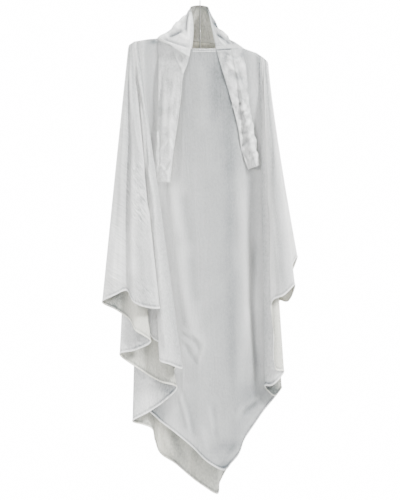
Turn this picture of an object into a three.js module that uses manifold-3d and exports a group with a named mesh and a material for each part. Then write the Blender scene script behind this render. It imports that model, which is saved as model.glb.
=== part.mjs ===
// A hooded prayer cape hung on a hanger: a long cape whose sides fall in stacked flutes, a hood that stands
// up round the hook, a turned-down collar on the left of the face opening, and two loose ties.
// Millimetres, +Z up. +X is to the viewer's right and the front faces -Y.
// The origin is the point inside the hook that the rail bears on.
import * as THREE from "three";
import * as BufferGeometryUtils from "three/addons/utils/BufferGeometryUtils.js";
import Module from "manifold-3d";

// Driving dimensions
const CLOTH = 1.2;             // wall of the cape, the hood and the ties
const SEAM_GAP = 0.2;          // half of the space between two cut edges that are sewn together
const SHOULDER_R = 11;         // how far the cape rolls over the hanger before it hangs
const TIP_STEP = 0.16;         // how close to a fold's tip its two side columns are, as a part of a row
const LONG_STEP = 30;          // rows further apart than this have a column between them
const DROP_ROWS = [0.04, 0.11, 0.21, 0.34, 0.5, 0.67, 0.84, 1];
const DEPTH_POWER = 2.2;       // how early the folds take their full depth as they fall
const SEWN_CLEAR = 1.6;        // middle to middle, of a piece and what it is sewn to
const TIE_CLEAR = 4.4;         // how far the ties hang in front of the cape
const COLLAR_CLEAR = 2.8;      // how far the collar stands off the hood under it
const WIRE_R = 1.8;            // hook wire
const HOOK_R = 15;             // middle of the wire in the hook's bend

// Colours: white crepe, pale wood, dark grey lacquered wire
const WHITE = 0xdfe0dd;
const WOOD = 0xc9b79c;
const LACQUER = 0x616160;

// The cape's hem, one row for each fold tip or layer, counter-clockwise from above.
// hemX, hemY, hemZ: where the hem is. topX: where that line leaves the shoulder.
// lead: 1 for a straight line seen from the front, more where the fold opens late.
const capeFront = [
  // name, hemX, hemY, hemZ, topX, lead
  ["T1", -305, -84, -945, -226, 1],
  ["L1m", -267, -106, -923, -223, 1],
  ["VL", -228, -92, -908, -219, 1],
  ["L1n", -207, -108, -943, -217, 1],
  ["L1o", -166, -118, -960, -215, 1],
  ["TRp", -126, -98, -963, -213, 1],
  ["H4m", -154, -66, -952, -211, 1],
  ["HL3", -182, -54, -949, -209, 1],
  ["H2m", -149, -44, -1056, -207, 1],
  ["HR1", -100, -52, -1086, -205, 1],
  ["CR1", -126, -70, -1125, -202, 1],
  ["R1m", -94, -84, -1138, -199, 1],
  ["TR", -57, -58, -1152, -196, 1],
  ["TRb", -63, -16, -1136, -193, 1],
  ["M1m", -110, 4, -1202, -188, 1],
  ["CLA", -165, 14, -1274, -181, 1],
  ["FPa", -135, 25, -1312, -163, 1],
  ["FPb", -78, 14, -1356, -110, 1],
  ["FPc", -25, 2, -1400, -53, 1],
  ["FPd", 28, -8, -1450, -3, 1],
  ["F0", 78, -14, -1472, 38, 1],
  ["FPe", 99, -15, -1450, 53, 1],
  ["FPf", 122, -17, -1422, 72, 1],
  ["FPg", 141, -10, -1372, 94, 1],
  ["FPh", 166, 0, -1337, 119, 1],
  ["FPi", 201, 8, -1287, 148, 1],
  ["FPj", 230, 8, -1252, 170, 1],
  ["TA", 257, -2, -1215, 182, 1],
  ["Mm", 234, -14, -1240, 185, 1],
  ["Vp", 203, -24, -1208, 188, 1],
  ["F2m", 226, -38, -1205, 192, 1],
  ["CR2", 263, -46, -1161, 195, 1],
  ["HLm", 237, -54, -1155, 197, 1],
  ["HLn", 230, -60, -1048, 198, 1],
  ["CLW", 226, -68, -941, 200, 1],
  ["Wm", 261, -90, -923, 204, 1],
  ["TW", 296, -66, -891, 209, 1],
  ["WB1a", 276, -10, -943, 210, 1],
  ["WB1b", 245, 20, -937, 211, 1],
  ["WC", 214, 28, -929, 212, 1],
  ["WB2m", 259, 36, -879, 213, 1.05],
  ["TWo", 308, 50, -803, 215, 1.2],
];
const capeBack = [
  // name, hemX, hemY, hemZ, topX, lead
  ["WB3m", 254, 68, -938, 212, 1],
  ["WBc", 182, 76, -1080, 208, 1],
  ["WB4m", 201, 86, -1164, 204, 1],
  ["T3r", 218, 100, -1237, 198, 1],
  ["BPa", 176, 98, -1306, 163, 1],
  ["BPb", 135, 76, -1368, 129, 1],
  ["BPc", 100, 84, -1447, 94, 1],
  ["BPd", 74, 72, -1494, 66, 1],
  ["BPe", 61, 64, -1522, 47, 1],
  ["B0", 57, 60, -1552, 35, 1],
  ["BPf", 5, 78, -1525, -3, 1],
  ["BPg", -31, 62, -1497, -38, 1],
  ["BPh", -78, 78, -1458, -82, 1],
  ["T5", -127, 64, -1423, -122, 1],
  ["Ris", -142, 56, -1384, -141, 1],
  ["L5a", -151, 42, -1346, -160, 1],
  ["L5b", -179, 22, -1332, -174, 1.1],
  ["T4", -212, 0, -1320, -187, 1.1],
  ["L4a", -163, -10, -1291, -191, 1.3],
  ["L4b", -116, -12, -1259, -195, 1.5],
  ["T3", -72, -22, -1213, -200, 1.6],
  ["L3a", -126, -31, -1193, -203, 1.6],
  ["L3b", -188, -38, -1156, -206, 1.5],
  ["T2", -251, -58, -1107, -210, 1.2],
  ["L2m", -201, -72, -1094, -212, 1.4],
  ["TS", -153, -81, -1067, -215, 1.6],
  ["S2m", -177, -91, -1047, -218, 1.5],
  ["Sst", -201, -93, -1032, -219, 1.4],
  ["Sm", -218, -82, -1001, -220, 1.3],
  ["Sn", -261, -80, -969, -223, 1.1],
];

// The cape's top edge: along the hanger to the neck, round the neck, and along the hanger again.
// name, x, y, z
const topFront = [
  ["left tip", -215, 0, -134],
  ["left rest", -204, 0, -126],
  ["left shoulder", -163, 0, -119],
  ["left neck", -132, 0, -116.5],
  ["left collarbone", -107, -22, -131],
  ["left of chin", -69, -38, -147],
  ["chin left", -25, -46, -153],
  ["chin", 13, -48, -154],
  ["chin right", 50, -46, -153],
  ["right of chin", 94, -36, -150],
  ["right collarbone", 119, -20, -148],
  ["right neck", 135, 0, -147],
  ["right shoulder", 157, 0, -155],
  ["right slope", 179, 0, -163],
  ["right rest", 195, 0, -175],
  ["right tip", 204, 0, -185],
];
const topBack = [
  ["left tip", -215, 0, -134],
  ["left rest", -204, 0, -126],
  ["left shoulder", -163, 0, -119],
  ["left neck", -132, 0, -116.5],
  ["left nape", -107, 24, -116],
  ["left of nape", -60, 42, -118],
  ["nape", 0, 48, -122],
  ["right of nape", 60, 44, -129],
  ["right nape", 100, 30, -138],
  ["right neck", 135, 0, -147],
  ["right shoulder", 157, 0, -155],
  ["right slope", 179, 0, -163],
  ["right rest", 195, 0, -175],
  ["right tip", 204, 0, -185],
];

// The hood, one row for each line from the neck seam up to the edge over the face.
// The line is a quadratic curve from base past middle to crown.
const hoodLines = [
  // name, baseX, baseY, baseZ, midX, midY, midZ, crownX, crownY, crownZ
  ["right edge", 50, -44, -151, 34, -14, -75, 24.5, 11, -24],
  ["right front", 91, -34, -148, 47, -8, -97, 27, 13, -20],
  ["right side", 134, 0, -144, 58, 8, -99, 24.5, 16, -15.5],
  ["right back", 84, 36, -132.4, 44, 38, -72, 12, 18, -12],
  ["nape", 0, 47, -120.6, -2, 52, -34, -2, 18, -10.7],
  ["left back", -75, 37, -115.8, -41, 40, -52, -17, 18, -11.8],
  ["left side", -131, 0, -114, -58, 8, -71, -28.5, 16, -15],
  ["left front", -86, -32, -137, -41, -8, -81, -30.5, 13, -19.5],
  ["left edge", -25, -44, -151, -14, -14, -75, -28.3, 11, -24],
];

// Where the collar's loose edge lies, below the seam that carries the hood: x, y, z
const collarEdge = [
  ["shoulder end", -130, -8, -116],
  ["outer", -110, -28, -130],
  ["middle", -88, -44, -145],
  ["inner", -56, -57, -167],
  ["chin end", -34, -61, -180],
];

// The ties, one row for each level: left edge x, z and right edge x, z
const tieLeftRows = [
  ["seam", -130, -131, -33, -158],
  ["upper", -130, -185, -37, -191],
  ["chest", -130, -241, -53, -238],
  ["middle", -131, -310, -60, -310],
  ["lower", -133, -389, -71, -389],
  ["narrow", -135, -467, -82, -464],
  ["above hem", -135.5, -530, -90, -533],
  ["end", -135, -567, -94, -569],
];
const tieRightRows = [
  ["seam", 51, -150, 131, -150],
  ["upper", 61, -191, 141, -194],
  ["chest", 75, -236, 146, -238],
  ["middle", 88, -279, 151, -276],
  ["lower", 99, -317, 155, -317],
  ["narrow", 119, -397, 166, -395],
  ["above hem", 131, -467, 181, -467],
  ["end", 151, -529, 192, -514],
];

// The hanger's top line: x, z
const barTop = [
  [-215, -135.6], [-201, -126.8], [-163, -127], [-110, -142], [0, -157], [110, -168],
  [157, -170], [180, -171], [193, -176.9], [203, -186],
];
const BAR_HALF = 8;
const BAR_HEIGHT = 20;

function lerp(a, b, f) {
  return a + (b - a) * f;
}

// y and z of a top edge at x, straight between its rows
function edgeAt(rows, x) {
  let k = 0;
  while (k < rows.length - 2 && x > rows[k + 1][1]) {
    k += 1;
  }
  const [, x0, y0, z0] = rows[k];
  const [, x1, y1, z1] = rows[k + 1];
  const f = Math.min(Math.max((x - x0) / (x1 - x0), 0), 1);
  return { y: lerp(y0, y1, f), z: lerp(z0, z1, f) };
}

// One column of the cape: over the hanger, then down its fold line to the hem
function capeColumn(hem, topX, lead, side) {
  const rows = side < 0 ? topFront : topBack;
  const leftTip = rows[0][1];
  const rightTip = rows[rows.length - 1][1];
  let ridgeX = topX;
  if (topX < -181) {
    ridgeX = lerp(leftTip, -181, (topX + 226) / 45);
  }
  if (topX > 182) {
    ridgeX = lerp(182, rightTip, (topX - 182) / 33);
  }
  const ridge = edgeAt(rows, ridgeX);
  const reach = SHOULDER_R * Math.max(0, 1 - Math.abs(ridge.y) / 16);
  let outY = reach;
  if (topX < leftTip) {
    outY = SHOULDER_R * Math.sqrt(Math.max(0, 1 - ((leftTip - topX) / SHOULDER_R) ** 2));
  }
  if (topX > rightTip) {
    outY = SHOULDER_R * Math.sqrt(Math.max(0, 1 - ((topX - rightTip) / SHOULDER_R) ** 2));
  }
  const start = new THREE.Vector3(ridgeX, ridge.y + side * SEAM_GAP, ridge.z);
  const spring = new THREE.Vector3(topX, ridge.y + side * outY, ridge.z - 12);
  const over = start.clone().lerp(spring, 0.7);
  over.z = ridge.z - 3.5;
  const column = [start, over, spring];
  for (const t of DROP_ROWS) {
    column.push(new THREE.Vector3(
      lerp(spring.x, hem.x, t ** lead),
      lerp(spring.y, hem.y, 1 - (1 - t) ** DEPTH_POWER),
      lerp(spring.z, hem.z, t),
    ));
  }
  return { points: column, up: reach / SHOULDER_R };
}

// Where a row's fold line doubles back on itself, seen from the front
function turnsBack(rows, k) {
  const n = rows.length;
  const before = rows[k % n][1] - rows[(k + n - 1) % n][1];
  const after = rows[(k + 1) % n][1] - rows[k % n][1];
  return before * after < 0;
}

// The whole ring of the cape, closed. A fold tip has two close columns beside it, so that it is round
function capeRing() {
  const rows = [...capeFront, ...capeBack];
  const curve = new THREE.CatmullRomCurve3(rows.map((r) => new THREE.Vector3(r[1], r[2], r[3])), true);
  const columns = [];
  let seam = 0;
  rows.forEach((row, k) => {
    const next = rows[(k + 1) % rows.length];
    const steps = [0];
    if (turnsBack(rows, k)) {
      steps.push(TIP_STEP);
    }
    if (Math.hypot(next[1] - row[1], next[2] - row[2]) > LONG_STEP) {
      steps.push(0.5);
    }
    if (turnsBack(rows, k + 1)) {
      steps.push(1 - TIP_STEP);
    }
    if (k === capeFront.length - 1) {
      seam = columns.length;
    }
    steps.forEach((f) => {
      const hem = curve.getPoint((k + f) / rows.length);
      const side = k < capeFront.length - 1 ? -1 : 1;
      columns.push(capeColumn(hem, lerp(row[4], next[4], f), lerp(row[5], next[5], f), side));
    });
  });
  return { columns, seam };
}

// Normals of a grid of points, grid[i][j] with i round the piece and j down it
function gridNormals(grid, closed) {
  const n = grid.length;
  const m = grid[0].length;
  return grid.map((column, i) => column.map((p, j) => {
    const a = closed ? grid[(i + n - 1) % n][j] : grid[Math.max(i - 1, 0)][j];
    const b = closed ? grid[(i + 1) % n][j] : grid[Math.min(i + 1, n - 1)][j];
    const along = b.clone().sub(a);
    const up = column[Math.max(j - 1, 0)].clone().sub(column[Math.min(j + 1, m - 1)]);
    return along.cross(up).normalize();
  }));
}

// Normals evened out round a closed ring, so that the wall stays whole inside a tight fold
function evenOut(normals) {
  const n = normals.length;
  return normals.map((column, i) => column.map((p, j) => {
    const before = normals[(i + n - 1) % n][j];
    const after = normals[(i + 1) % n][j];
    return p.clone().multiplyScalar(1.5).add(before).add(after).normalize();
  }));
}

// A closed wall with the grid as its middle surface
function wall(grid, normals, thickness) {
  const n = grid.length;
  const m = grid[0].length;
  const positions = [];
  const index = [];
  for (const sign of [1, -1]) {
    for (let i = 0; i < n; i += 1) {
      for (let j = 0; j < m; j += 1) {
        const p = grid[i][j].clone().addScaledVector(normals[i][j], sign * thickness / 2);
        positions.push(p.x, p.y, p.z);
      }
    }
  }
  const at = (i, j, face) => face * n * m + i * m + j;
  const quad = (a, b, c, d) => index.push(a, b, c, a, c, d);
  for (let i = 0; i < n - 1; i += 1) {
    for (let j = 0; j < m - 1; j += 1) {
      quad(at(i, j, 0), at(i, j + 1, 0), at(i + 1, j + 1, 0), at(i + 1, j, 0));
      quad(at(i, j, 1), at(i + 1, j, 1), at(i + 1, j + 1, 1), at(i, j + 1, 1));
    }
    quad(at(i, 0, 0), at(i + 1, 0, 0), at(i + 1, 0, 1), at(i, 0, 1));
    quad(at(i, m - 1, 0), at(i, m - 1, 1), at(i + 1, m - 1, 1), at(i + 1, m - 1, 0));
  }
  for (let j = 0; j < m - 1; j += 1) {
    quad(at(0, j, 0), at(0, j, 1), at(0, j + 1, 1), at(0, j + 1, 0));
    quad(at(n - 1, j, 0), at(n - 1, j + 1, 0), at(n - 1, j + 1, 1), at(n - 1, j, 1));
  }
  const geometry = new THREE.BufferGeometry();
  geometry.setAttribute("position", new THREE.Float32BufferAttribute(positions, 3));
  geometry.setIndex(index);
  geometry.computeVertexNormals();
  return geometry;
}

// Draws an edge column towards its neighbour so that two sewn pieces don't touch
function pullIn(edge, neighbour) {
  return edge.map((p, j) => {
    const d = neighbour[j].clone().sub(p);
    return p.clone().addScaledVector(d.normalize(), SEAM_GAP);
  });
}

const ring = capeRing();
const ringGrid = ring.columns.map((c) => c.points);
const ringNormals = evenOut(gridNormals(ringGrid, true));
ring.columns.forEach((c, i) => {
  ringNormals[i][0].lerp(new THREE.Vector3(0, 0, 1), c.up).normalize();
});

// The part of the ring from one column to another, as one sewn panel
function panel(first, last) {
  const grid = [];
  const normals = [];
  for (let i = first; i <= last; i += 1) {
    grid.push(ringGrid[i % ringGrid.length].map((p) => p.clone()));
    normals.push(ringNormals[i % ringGrid.length].map((p) => p.clone()));
  }
  const end = grid.length - 1;
  grid[0] = pullIn(grid[0], grid[1]);
  grid[end] = pullIn(grid[end], grid[end - 1]);
  return { grid, normals };
}

const frontPanel = panel(0, ring.seam);
const backPanel = panel(ring.seam, ringGrid.length);
// the back panel's two ends lie on the back's side of the shoulder seam
backPanel.grid[0][0].y = SEAM_GAP;
backPanel.grid[backPanel.grid.length - 1][0].y = SEAM_GAP;

// How far forward the cape's outermost layer lies at x, z
function frontDepth(x, z) {
  let depth = 40;
  const lines = ringGrid.slice(0, ring.seam + 1).map((column) => {
    let j = 0;
    while (j < column.length - 2 && z < column[j + 1].z) {
      j += 1;
    }
    const a = column[j];
    const b = column[j + 1];
    const f = Math.min(Math.max((z - a.z) / (b.z - a.z), 0), 1);
    return z < b.z - 2 ? null : { x: lerp(a.x, b.x, f), y: lerp(a.y, b.y, f) };
  });
  for (let i = 0; i < lines.length - 1; i += 1) {
    const a = lines[i];
    const b = lines[i + 1];
    if (a && b && (a.x - x) * (b.x - x) <= 0 && a.x !== b.x) {
      depth = Math.min(depth, lerp(a.y, b.y, (x - a.x) / (b.x - a.x)));
    }
  }
  return depth;
}

// A tie: a flat band that hangs from the neck seam in front of the cape, with a few soft folds
function tie(rows, across, down) {
  const left = new THREE.CatmullRomCurve3(rows.map((r) => new THREE.Vector3(r[1], 0, r[2])));
  const right = new THREE.CatmullRomCurve3(rows.map((r) => new THREE.Vector3(r[3], 0, r[4])));
  const grid = [];
  for (let i = 0; i <= across; i += 1) {
    const w = i / across;
    const column = [];
    let hang = 0;
    for (let j = 0; j <= down; j += 1) {
      const s = j / down;
      const p = left.getPoint(s).lerp(right.getPoint(s), w);
      const near = frontDepth(p.x, p.z) - lerp(TIE_CLEAR - 0.8, TIE_CLEAR, Math.min(4 * s, 1));
      hang = j === 0 ? near : hang;
      const fold = 2.5 * s * Math.sin(w * Math.PI * 3 + 0.6);
      p.y = Math.min(near, hang * (1 - 0.2 * s)) - Math.abs(fold);
      column.push(p);
    }
    grid.push(column);
  }
  return grid;
}

// A point of the hood: u along the table of lines, v from the neck seam up to the edge over the face
function spread(rows, first, u) {
  const curve = new THREE.CatmullRomCurve3(rows.map((r) => new THREE.Vector3(...r.slice(first, first + 3))));
  return curve.getPoint(u);
}

function rise(base, middle, crown, v) {
  return new THREE.QuadraticBezierCurve3(base, middle, crown).getPoint(v);
}

// Grid of the hood between two of its lines, from v = low up to v = high, top row first
function hoodGrid(from, to, across, high, low, down) {
  const last = hoodLines.length - 1;
  const grid = [];
  for (let i = 0; i <= across; i += 1) {
    const u = lerp(from, to, i / across) / last;
    const base = spread(hoodLines, 1, u);
    const middle = spread(hoodLines, 4, u);
    const crown = spread(hoodLines, 7, u);
    const column = [];
    for (let j = 0; j <= down; j += 1) {
      column.push(rise(base, middle, crown, lerp(high, low, j / down)));
    }
    grid.push(column);
  }
  return grid;
}

// A grid moved out along its own normals, by one distance at its sewn top row and another below it
function moveOut(grid, sewn, distance) {
  const normals = gridNormals(grid, false);
  return grid.map((column, i) => column.map((p, j) => {
    return p.clone().addScaledVector(normals[i][j], lerp(sewn, distance, Math.min(j / 2, 1)));
  }));
}

const hoodWall = hoodGrid(0, 8, 28, 1, 0, 8);

// The collar follows the hood's left front and runs on below the seam to its loose edge
function collarGrid(across, down) {
  const last = hoodLines.length - 1;
  const grid = [];
  for (let i = 0; i <= across; i += 1) {
    const f = i / across;
    const u = lerp(6.15, 8, f) / last;
    const edge = spread(collarEdge, 1, f);
    const middle = spread(hoodLines, 4, u);
    const crown = spread(hoodLines, 7, u);
    const column = [];
    for (let j = 0; j <= down; j += 1) {
      column.push(rise(edge, middle, crown, lerp(0.9, 0, j / down)));
    }
    grid.push(column);
  }
  return grid;
}

// The binding over the cape's front neck edge, between the hood's two front corners
function bindingGrid(across) {
  const grid = [];
  for (let i = 0; i <= across; i += 1) {
    const x = lerp(-23, 48, i / across);
    const edge = edgeAt(topFront, x);
    grid.push([2.5, -3, -9].map((dz) => new THREE.Vector3(x, edge.y - 2.3, edge.z + dz)));
  }
  return grid;
}

// The hanger's bar: rounded ends, a flat-sided oval section, with the hole that the hook screws into
function barGeometry() {
  const sections = [];
  const profile = (x, top, scale) => {
    const ring = [];
    for (let k = 0; k < 12; k += 1) {
      const a = (k / 12) * Math.PI * 2;
      const y = Math.cos(a) * BAR_HALF * scale;
      const z = top - BAR_HEIGHT / 2 + Math.sin(a) * (BAR_HEIGHT / 2) * scale;
      ring.push(new THREE.Vector3(x, y, z));
    }
    return ring;
  };
  const first = barTop[0];
  const last = barTop[barTop.length - 1];
  sections.push(profile(first[0] - 7.5, first[1] - 1, 0.3));
  sections.push(profile(first[0] - 5, first[1], 0.75));
  barTop.forEach(([x, z]) => sections.push(profile(x, z, 1)));
  sections.push(profile(last[0] + 5, last[1], 0.75));
  sections.push(profile(last[0] + 7.5, last[1] - 1, 0.3));
  const positions = [];
  const index = [];
  sections.forEach((ring) => ring.forEach((p) => positions.push(p.x, p.y, p.z)));
  for (let s = 0; s < sections.length - 1; s += 1) {
    for (let k = 0; k < 12; k += 1) {
      const a = s * 12 + k;
      const b = s * 12 + (k + 1) % 12;
      index.push(a, b, b + 12, a, b + 12, a + 12);
    }
  }
  const end = (sections.length - 1) * 12;
  for (let k = 1; k < 11; k += 1) {
    index.push(0, k + 1, k, end, end + k, end + k + 1);
  }
  const geometry = new THREE.BufferGeometry();
  geometry.setAttribute("position", new THREE.Float32BufferAttribute(positions, 3));
  geometry.setIndex(index);
  return geometry;
}

// The hook: a stem out of the bar that leans back, then a bend over the rail that opens to the front,
// so that the rail bears straight above the bar
function hookGeometry() {
  const centreZ = WIRE_R - HOOK_R;
  const at = (y, z) => new THREE.Vector3(0, y, z);
  const path = new THREE.CurvePath();
  path.add(new THREE.LineCurve3(at(0, -171), at(0, -150)));
  path.add(new THREE.CubicBezierCurve3(at(0, -150), at(0, -115), at(HOOK_R, -95), at(HOOK_R, -55)));
  path.add(new THREE.LineCurve3(at(HOOK_R, -55), at(HOOK_R, centreZ)));
  const points = [];
  for (let k = 0; k <= 12; k += 1) {
    const a = (k / 12) * Math.PI;
    points.push(at(Math.cos(a) * HOOK_R, centreZ + Math.sin(a) * HOOK_R));
  }
  points.push(at(-HOOK_R - 1.5, centreZ - 6));
  path.add(new THREE.CatmullRomCurve3(points));
  const section = new THREE.Shape();
  section.absarc(0, 0, WIRE_R, 0, Math.PI * 2, false);
  return new THREE.ExtrudeGeometry(section, { extrudePath: path, steps: 44, curveSegments: 5 });
}

const wasm = await Module();
wasm.setup();

function solid(geometry) {
  const bare = geometry.index ? geometry.toNonIndexed() : geometry.clone();
  bare.deleteAttribute("normal");
  bare.deleteAttribute("uv");
  const merged = BufferGeometryUtils.mergeVertices(bare, 1e-4);
  return new wasm.Manifold(new wasm.Mesh({
    numProp: 3,
    vertProperties: new Float32Array(merged.attributes.position.array),
    triVerts: new Uint32Array(merged.index.array),
  }));
}

function fromSolid(body) {
  const mesh = body.getMesh();
  const geometry = new THREE.BufferGeometry();
  geometry.setAttribute("position", new THREE.BufferAttribute(new Float32Array(mesh.vertProperties), 3));
  geometry.setIndex(new THREE.BufferAttribute(new Uint32Array(mesh.triVerts), 1));
  geometry.computeVertexNormals();
  return geometry;
}

const object = new THREE.Group();

function add(name, geometry, color, roughness, metalness) {
  const material = new THREE.MeshStandardMaterial({ color, roughness, metalness });
  const mesh = new THREE.Mesh(geometry, material);
  mesh.name = name;
  object.add(mesh);
}

function addCloth(name, grid, normals) {
  add(name, wall(grid, normals ?? gridNormals(grid, false), CLOTH), WHITE, 0.85, 0);
}

addCloth("cape_front", frontPanel.grid, frontPanel.normals);
addCloth("cape_back", backPanel.grid, backPanel.normals);
addCloth("hood", hoodWall);
addCloth("hood_collar_left", moveOut(collarGrid(9, 9), SEWN_CLEAR, COLLAR_CLEAR));
addCloth("face_band_right", moveOut(hoodGrid(0.02, 0.4, 2, 0.92, 0.05, 8), SEWN_CLEAR, COLLAR_CLEAR - 0.4));
addCloth("tie_left", tie(tieLeftRows, 7, 12));
addCloth("tie_right", tie(tieRightRows, 7, 12));
addCloth("chin_binding", bindingGrid(6));

// the hook is screwed into the bar
const hole = new THREE.CylinderGeometry(WIRE_R + 0.4, WIRE_R + 0.4, 40, 16);
hole.rotateX(Math.PI / 2);
hole.translate(0, 0, -154);
add("hanger_bar", fromSolid(solid(barGeometry()).subtract(solid(hole))), WOOD, 0.5, 0);
add("hanger_hook", hookGeometry(), LACQUER, 0.55, 0);

export default object;
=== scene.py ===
import math
import bpy
import numpy as np
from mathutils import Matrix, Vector, noise
from mathutils.bvhtree import BVHTree


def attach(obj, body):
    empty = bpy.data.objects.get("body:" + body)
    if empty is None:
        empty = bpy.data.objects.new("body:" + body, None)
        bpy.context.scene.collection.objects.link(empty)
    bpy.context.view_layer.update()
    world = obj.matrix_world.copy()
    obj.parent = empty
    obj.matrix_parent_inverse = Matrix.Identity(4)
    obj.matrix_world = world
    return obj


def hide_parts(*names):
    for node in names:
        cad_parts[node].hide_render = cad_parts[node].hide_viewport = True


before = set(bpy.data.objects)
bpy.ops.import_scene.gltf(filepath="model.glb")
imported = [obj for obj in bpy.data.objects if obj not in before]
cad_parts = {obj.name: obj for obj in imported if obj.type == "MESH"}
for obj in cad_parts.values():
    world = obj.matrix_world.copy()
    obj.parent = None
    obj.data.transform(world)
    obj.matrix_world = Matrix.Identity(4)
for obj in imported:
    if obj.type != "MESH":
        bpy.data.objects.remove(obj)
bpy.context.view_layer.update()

# ---- The hanger's bar ----
# A bowed rod of pale beech with a flat oval section and rounded ends, planed, sanded and varnished.
# It lies hidden in the shoulders and carries the whole cape, with its right end the lower one.
BAR_TOP = [  # x, z of the bar's top line
    (-215, -135.6), (-201, -126.8), (-163, -127), (-110, -142), (0, -157), (110, -168), (157, -170),
    (180, -171), (193, -176.9), (203, -186),
]
BAR_HALF = 8         # half its depth, front to back
BAR_HEIGHT = 20
BAR_ROUND = 7.6      # how far its ends round off


def put(name, data):
    """A new object in the scene."""
    made = bpy.data.objects.new(name, data)
    bpy.context.scene.collection.objects.link(made)
    return made


def piece_from(name, points, faces, cut=None, marks=None):
    """A piece from points in millimetres and its faces. A cloth piece also gets each point's place on the
    cut cloth, in metres, and named values that its finish reads."""
    mesh = bpy.data.meshes.new(name)
    mesh.from_pydata([tuple(p) for p in np.asarray(points) * 0.001], [], faces)
    mesh.shade_smooth()
    if cut is not None:
        layer = mesh.uv_layers.new(name="cut")
        corner = np.zeros(len(mesh.loops), dtype=np.int32)
        mesh.loops.foreach_get("vertex_index", corner)
        layer.data.foreach_set("uv", np.asarray(cut, dtype=np.float32)[corner].ravel())
    for title, values in (marks or {}).items():
        mark = mesh.attributes.new(title, "FLOAT", "POINT")
        mark.data.foreach_set("value", np.asarray(values, dtype=np.float32))
    return put(name, mesh)


def around(count):
    """Even angles once round a circle."""
    return np.linspace(0, 2 * math.pi, count + 1)[:-1]


def rod_from(name, rings):
    """A closed rod lofted through rings of equal count, with its two ends capped."""
    at = np.arange(len(rings) * len(rings[0])).reshape(len(rings), -1)
    after = np.roll(at, -1, axis=1)
    sides = np.stack([at[:-1], after[:-1], after[1:], at[1:]], axis=2).reshape(-1, 4).tolist()
    return piece_from(name, np.concatenate(rings), [*sides, at[0, ::-1].tolist(), at[-1].tolist()])


bar_x, bar_top = np.array(BAR_TOP, dtype=float).T
bar_left, bar_right = bar_x[0], bar_x[-1]
bar_places = np.concatenate([
    np.linspace(bar_left - 7, bar_left + 1, 9), np.linspace(bar_left + 3, bar_right - 3, 84),
    np.linspace(bar_right - 1, bar_right + 7, 9)])
cos, sin = np.cos(around(32)), np.sin(around(32))
bar_rings = []
for x in bar_places:
    inner = min(max(x, bar_left), bar_right)
    scale = math.sqrt(max(0.03, 1 - ((x - inner) / BAR_ROUND) ** 2))
    top = np.mean(np.interp([inner - 9, inner - 4, inner, inner + 4, inner + 9], bar_x, bar_top))
    middle = min(top, np.interp(inner, bar_x, bar_top)) - BAR_HEIGHT / 2
    bar_rings.append(np.stack([
        np.full(32, x), np.sign(cos) * np.abs(cos) ** 0.8 * BAR_HALF * scale,
        middle + sin * BAR_HEIGHT / 2 * scale], axis=1))
bar = rod_from("bar_beech", bar_rings)


def set_up(tree, node, numbered=None, **values):
    """Sets a node up. A name in small letters is a setting; the others are sockets, with _ for a space, and
    numbered ones come apart. A socket gets a value, or the node or the output that feeds it."""
    for key, value in {**values, **(numbered or {})}.items():
        if str(key)[0].islower():
            setattr(node, key, value)
            continue
        socket = node.inputs[key if isinstance(key, int) else key.replace("_", " ")]
        if isinstance(value, bpy.types.Node):
            value = value.outputs.get("Fac") or value.outputs[0]
        if isinstance(value, bpy.types.NodeSocket):
            tree.links.new(value, socket)
        else:
            socket.default_value = value
    return node


def node_in(tree, kind, numbered=None, **values):
    """A new node of a tree, set up."""
    return set_up(tree, tree.nodes.new(kind), numbered, **values)


def new_finish(name, **values):
    """A new material, its tree, and its shader with the values given."""
    material = bpy.data.materials.new(name)
    material.use_nodes = True
    tree = material.node_tree
    return material, tree, set_up(tree, tree.nodes["Principled BSDF"], **values)


def on_object(tree, scale=(1, 1, 1)):
    """The place on the object, stretched by a scale."""
    place = node_in(tree, "ShaderNodeTexCoord").outputs["Object"]
    return node_in(tree, "ShaderNodeMapping", Vector=place, Scale=scale)


def clouds_in(tree, place, scale, detail, roughness=0.5, distortion=0):
    """A cloudy pattern over a place."""
    return node_in(tree, "ShaderNodeTexNoise", Vector=place, Scale=scale, Detail=detail,
                   Roughness=roughness, Distortion=distortion)


def bump_in(tree, height, strength, distance):
    """Fine relief from a pattern; its distance is in metres."""
    return node_in(tree, "ShaderNodeBump", Height=height, Strength=strength, Distance=distance)


def ramp_in(tree, pattern, dark, light):
    """A node that turns a pattern into the colours between two."""
    ramp = node_in(tree, "ShaderNodeValToRGB", Fac=pattern)
    for stop, colour in zip(ramp.color_ramp.elements, (dark, light)):
        stop.color = (*colour, 1)
    return ramp


beech, tree, shader = new_finish("varnished beech", Roughness=0.42, Coat_Weight=0.35, Coat_Roughness=0.25)
along = on_object(tree, (9, 140, 140))
grain = clouds_in(tree, along, 1.6, 6, 0.62, 0.6)
set_up(tree, shader, Base_Color=ramp_in(tree, grain, (0.43, 0.29, 0.17), (0.66, 0.52, 0.36)),
       Normal=bump_in(tree, clouds_in(tree, along, 9, 3), 0.25, 0.0004))
bar.data.materials.append(beech)
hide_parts("hanger_bar")
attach(bar, "root")

# ---- The hanger's hook ----
# Steel wire with a dull dark grey lacquer, screwed into the bar. Its stem leans back and its bend comes
# forward over the rail, so that the rail bears straight above the bar. The cut end is filed round.
WIRE_R = 1.8
HOOK_R = 15
STEM_FOOT_Z = (-171, -160, -150)
SWEEP_Y = (0, 0, HOOK_R, HOOK_R)       # the four points that draw the stem's sweep to the back
SWEEP_Z = (-150, -115, -95, -55)
TIP_FORM = [(0.7, 0.92), (1.3, 0.7), (1.65, 0.4), (1.8, 0.08)]   # past the last full ring, part of its size

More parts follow.
